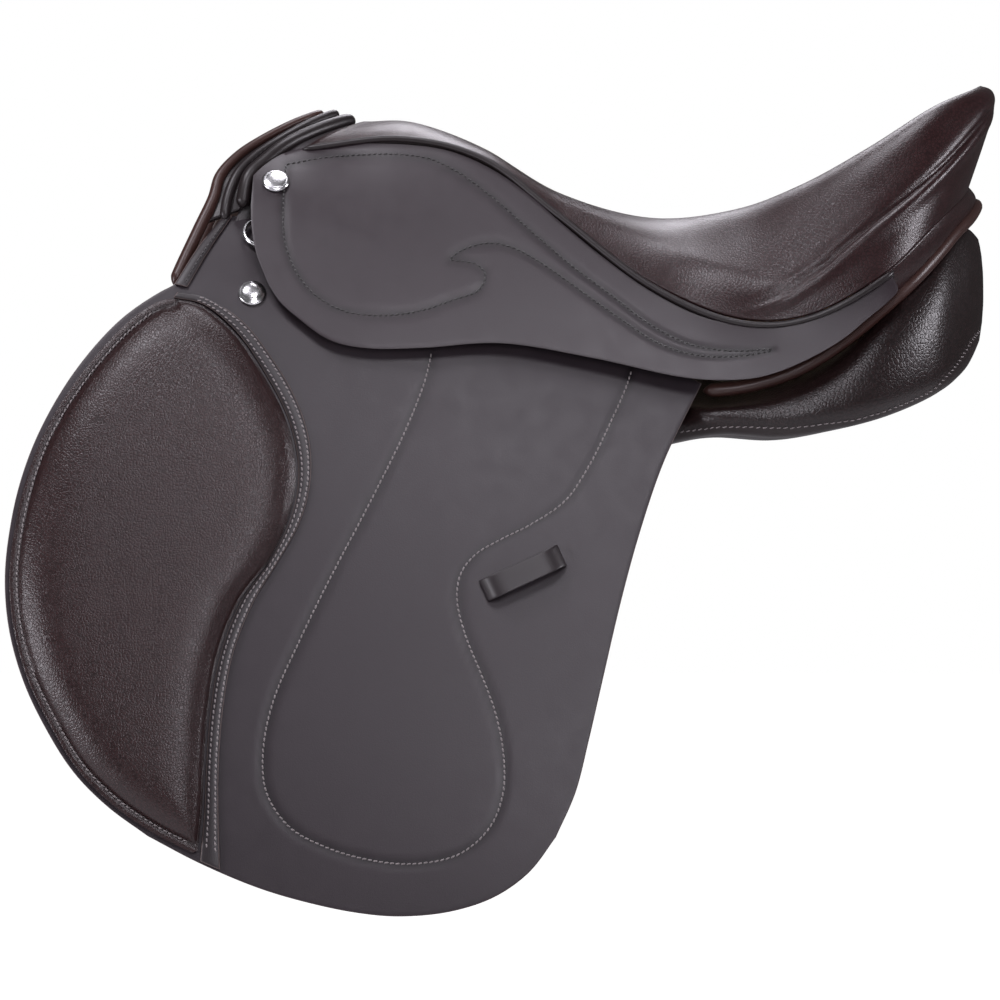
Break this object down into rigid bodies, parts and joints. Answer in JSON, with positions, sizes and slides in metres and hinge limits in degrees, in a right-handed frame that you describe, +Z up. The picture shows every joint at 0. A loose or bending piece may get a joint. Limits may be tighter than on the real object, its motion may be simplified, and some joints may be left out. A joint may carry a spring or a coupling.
{
  "type": "english saddle",
  "caption": "Leather riding saddle with a deep seat, folding skirts and flaps, knee pads, girth straps, stirrup bars and stuffed panels.",
  "frame": {"origin": "middle of the gullet channel, level with the panels' bearing line", "axes": "+X to the cantle, -Y to the near side, +Z up"},
  "size_m": [0.6128, 0.4184, 0.5109],
  "materials": {
    "tree_wood": "laminated beech, lacquered",
    "fitting_steel": "forged and plated",
    "webbing": "woven tape",
    "seat_foam": "soft padding",
    "seat_leather": "fine grained, satin",
    "welt_leather": "smooth cord",
    "piping_leather": "smooth, reddish brown",
    "binding_leather": "smooth",
    "panel_leather": "fine grained over soft flocking",
    "sweat_leather": "smooth",
    "billet_leather": "strap leather",
    "flap_leather": "smooth, matte grey brown",
    "skirt_leather": "smooth, matte grey brown",
    "pad_leather": "fine grained over foam",
    "trim_leather": "smooth, stitched",
    "polished_nails": "polished"
  },
  "bodies": {
    "saddle": {"tree_head": "tree_wood", "head_plate": "fitting_steel", "gullet_plate": "fitting_steel", "tree_cantle": "tree_wood", "straining_web": "webbing", "girth_web_front": "webbing", "girth_web_rear": "webbing", "seat_foam": "seat_foam", "seat_cover": "seat_leather", "seat_welt": "welt_leather", "cantle_piping": "piping_leather", "pommel_piping": "piping_leather", "pommel_binding": "binding_leather", "pommel_roll": "binding_leather", "tree_rail_near": "tree_wood", "tree_rail_off": "tree_wood", "tree_spring_near": "fitting_steel", "tree_spring_off": "fitting_steel", "seat_web_near": "webbing", "seat_web_off": "webbing", "panel_near": "panel_leather", "panel_off": "panel_leather", "sweat_flap_upper_near": "sweat_leather", "sweat_flap_upper_off": "sweat_leather", "flap_upper_near": "flap_leather", "flap_upper_off": "flap_leather", "flap_nail_near": "polished_nails", "flap_nail_off": "polished_nails", "stirrup_bar_near": "fitting_steel", "stirrup_bar_off": "fitting_steel", "dee_chape_near": "billet_leather", "dee_chape_off": "billet_leather", "skirt_upper_near": "skirt_leather", "skirt_upper_off": "skirt_leather", "head_nail_near": "polished_nails", "head_nail_off": "polished_nails"},
    "flap_near": {"flap_near": "flap_leather", "knee_pad_near": "pad_leather", "knee_border_near": "trim_leather", "keeper_loop_near": "trim_leather"},
    "skirt_near": {"skirt_near": "skirt_leather"},
    "sweat_flap_near": {"sweat_flap_near": "sweat_leather"},
    "billet_front_near": {"billet_front_near": "billet_leather"},
    "billet_middle_near": {"billet_middle_near": "billet_leather"},
    "billet_rear_near": {"billet_rear_near": "billet_leather"},
    "bar_catch_near": {"bar_catch_near": "fitting_steel"},
    "dee_ring_near": {"dee_ring_near": "polished_nails"},
    "flap_off": {"flap_off": "flap_leather", "knee_pad_off": "pad_leather", "knee_border_off": "trim_leather", "keeper_loop_off": "trim_leather"},
    "skirt_off": {"skirt_off": "skirt_leather"},
    "sweat_flap_off": {"sweat_flap_off": "sweat_leather"},
    "billet_front_off": {"billet_front_off": "billet_leather"},
    "billet_middle_off": {"billet_middle_off": "billet_leather"},
    "billet_rear_off": {"billet_rear_off": "billet_leather"},
    "bar_catch_off": {"bar_catch_off": "fitting_steel"},
    "dee_ring_off": {"dee_ring_off": "polished_nails"}
  },
  "joints": [
    {"name": "flap_fold_near", "type": "hinge", "parent": "saddle", "child": "flap_near", "pos_m": [-0.084, -0.1163, 0.0218], "axis": [-0.9754, 0.1022, 0.1951], "range_deg": [0, 75]},
    {"name": "flap_fold_off", "type": "hinge", "parent": "saddle", "child": "flap_off", "pos_m": [-0.084, 0.1163, 0.0218], "axis": [0.9754, 0.1022, -0.1951], "range_deg": [0, 75]},
    {"name": "skirt_fold_near", "type": "hinge", "parent": "saddle", "child": "skirt_near", "pos_m": [-0.0415, -0.11001, 0.06608], "axis": [-0.9232, 0.1919, 0.333], "range_deg": [0, 75]},
    {"name": "skirt_fold_off", "type": "hinge", "parent": "saddle", "child": "skirt_off", "pos_m": [-0.0415, 0.11001, 0.06608], "axis": [0.9232, 0.1919, -0.333], "range_deg": [0, 75]},
    {"name": "sweat_flap_fold_near", "type": "hinge", "parent": "saddle", "child": "sweat_flap_near", "pos_m": [-0.0525, -0.10896, -0.028], "axis": [-0.9995, 0.03, 0], "range_deg": [-12, 0]},
    {"name": "sweat_flap_fold_off", "type": "hinge", "parent": "saddle", "child": "sweat_flap_off", "pos_m": [-0.0525, 0.10896, -0.028], "axis": [0.9995, 0.03, 0], "range_deg": [-12, 0]},
    {"name": "billet_front_swing_near", "type": "hinge", "parent": "saddle", "child": "billet_front_near", "pos_m": [-0.082, -0.11207, 0.0075], "axis": [-0.025, -0.9315, 0.3628], "range_deg": [-5, 5]},
    {"name": "billet_front_swing_off", "type": "hinge", "parent": "saddle", "child": "billet_front_off", "pos_m": [-0.082, 0.11207, 0.0075], "axis": [0.025, -0.9315, -0.3628], "range_deg": [-5, 5]},
    {"name": "billet_middle_swing_near", "type": "hinge", "parent": "saddle", "child": "billet_middle_near", "pos_m": [-0.045, -0.10775, 0.0075], "axis": [-0.0239, -0.9298, 0.3673], "range_deg": [-5, 5]},
    {"name": "billet_middle_swing_off", "type": "hinge", "parent": "saddle", "child": "billet_middle_off", "pos_m": [-0.045, 0.10775, 0.0075], "axis": [0.0239, -0.9298, -0.3673], "range_deg": [-5, 5]},
    {"name": "billet_rear_swing_near", "type": "hinge", "parent": "saddle", "child": "billet_rear_near", "pos_m": [-0.008, -0.10333, 0.0075], "axis": [-0.0218, -0.9262, 0.3763], "range_deg": [-5, 5]},
    {"name": "billet_rear_swing_off", "type": "hinge", "parent": "saddle", "child": "billet_rear_off", "pos_m": [-0.008, 0.10333, 0.0075], "axis": [0.0218, -0.9262, -0.3763], "range_deg": [-5, 5]},
    {"name": "bar_catch_turn_near", "type": "hinge", "parent": "saddle", "child": "bar_catch_near", "pos_m": [-0.075, -0.07878, 0.0965], "axis": [0.06, -0.7289, 0.6819], "range_deg": [0, 45]},
    {"name": "bar_catch_turn_off", "type": "hinge", "parent": "saddle", "child": "bar_catch_off", "pos_m": [-0.075, 0.07878, 0.0965], "axis": [-0.06, -0.7289, -0.6819], "range_deg": [0, 45]},
    {"name": "dee_ring_turn_near", "type": "hinge", "parent": "saddle", "child": "dee_ring_near", "pos_m": [-0.18382, -0.07207, 0.10447], "axis": [0, 0.6347, 0.7727], "range_deg": [0, 40]},
    {"name": "dee_ring_turn_off", "type": "hinge", "parent": "saddle", "child": "dee_ring_off", "pos_m": [-0.18382, 0.07207, 0.10447], "axis": [0, 0.6347, -0.7727], "range_deg": [0, 40]}
  ]
}
